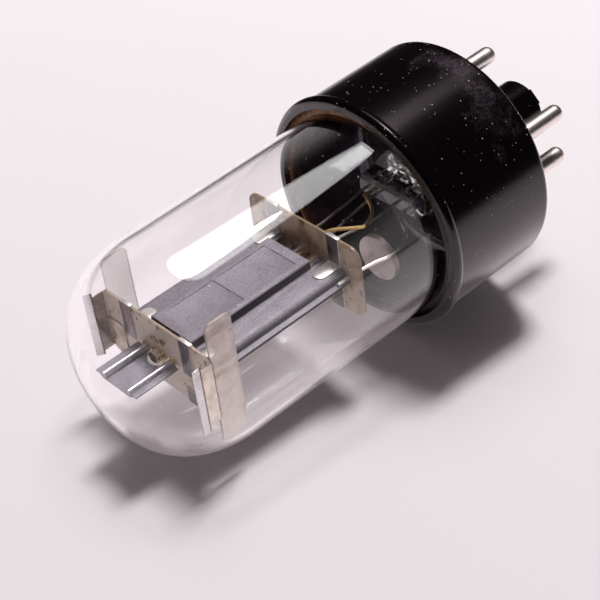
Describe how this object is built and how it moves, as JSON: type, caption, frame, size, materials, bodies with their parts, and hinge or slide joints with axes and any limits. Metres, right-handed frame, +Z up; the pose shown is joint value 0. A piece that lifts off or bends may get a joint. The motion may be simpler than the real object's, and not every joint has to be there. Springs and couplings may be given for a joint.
{
  "type": "triode vacuum tube",
  "caption": "Glass triode vacuum tube lying on its side, with a flat anode between mica plates, a black moulded octal base, contact pins and a keyed spigot.",
  "frame": {"origin": "middle of the bounding box's footprint, on the surface that the tube lies on", "axes": "+X along the tube towards the pins' end, within its small lean, +Z up, and +Y to the left when seen from the dome looking at the pins' end"},
  "size_m": [0.0742, 0.033, 0.0336],
  "materials": {
    "clear_glass": "clear, smooth, slightly dusty",
    "stem_glass": "clear, thicker",
    "black_moulding": "black, satin gloss with dust and fine scratches",
    "cement": "brown, matte",
    "pin_metal": "nickel plated, worn",
    "solder": "dull",
    "mica": "cloudy, layered",
    "spacer_mica": "milky with brown marks",
    "bracket_metal": "nickel sheet, tarnished",
    "strap_metal": "nickel strip",
    "carbonised": "dark grey, matte, blackened nickel",
    "rod_metal": "grey",
    "fin_metal": "blackened sheet",
    "grid_wire": "bright",
    "sleeve_metal": "nickel, straw tint",
    "coating": "white, matte",
    "gold_metal": "bright yellow",
    "lead_metal": "grey wire",
    "bright_wire": "bright nickel wire",
    "dish_metal": "bright nickel sheet"
  },
  "bodies": {
    "root": {"glass_bulb": "clear_glass", "glass_stem": "stem_glass", "base_shell": "black_moulding", "base_cement": "cement", "pin_2": "pin_metal", "pin_3": "pin_metal", "pin_5": "pin_metal", "pin_7": "pin_metal", "pin_8": "pin_metal", "pin_solder": "solder", "mica_upper": "mica", "mica_lower": "mica", "spacer_left": "spacer_mica", "spacer_right": "spacer_mica", "bracket_left": "bracket_metal", "bracket_right": "bracket_metal", "straps_upper": "strap_metal", "straps_lower": "strap_metal", "anode_front": "carbonised", "anode_back": "carbonised", "grid_rod_left": "rod_metal", "grid_rod_right": "rod_metal", "grid_fin": "fin_metal", "grid_winding": "grid_wire", "cathode_sleeve": "sleeve_metal", "heater": "coating", "eyelets": "gold_metal", "lead_grid": "lead_metal", "lead_cathode": "gold_metal", "lead_anode": "bright_wire", "lead_heater_a": "lead_metal", "lead_heater_b": "lead_metal", "getter_dish": "dish_metal"}
  },
  "joints": []
}
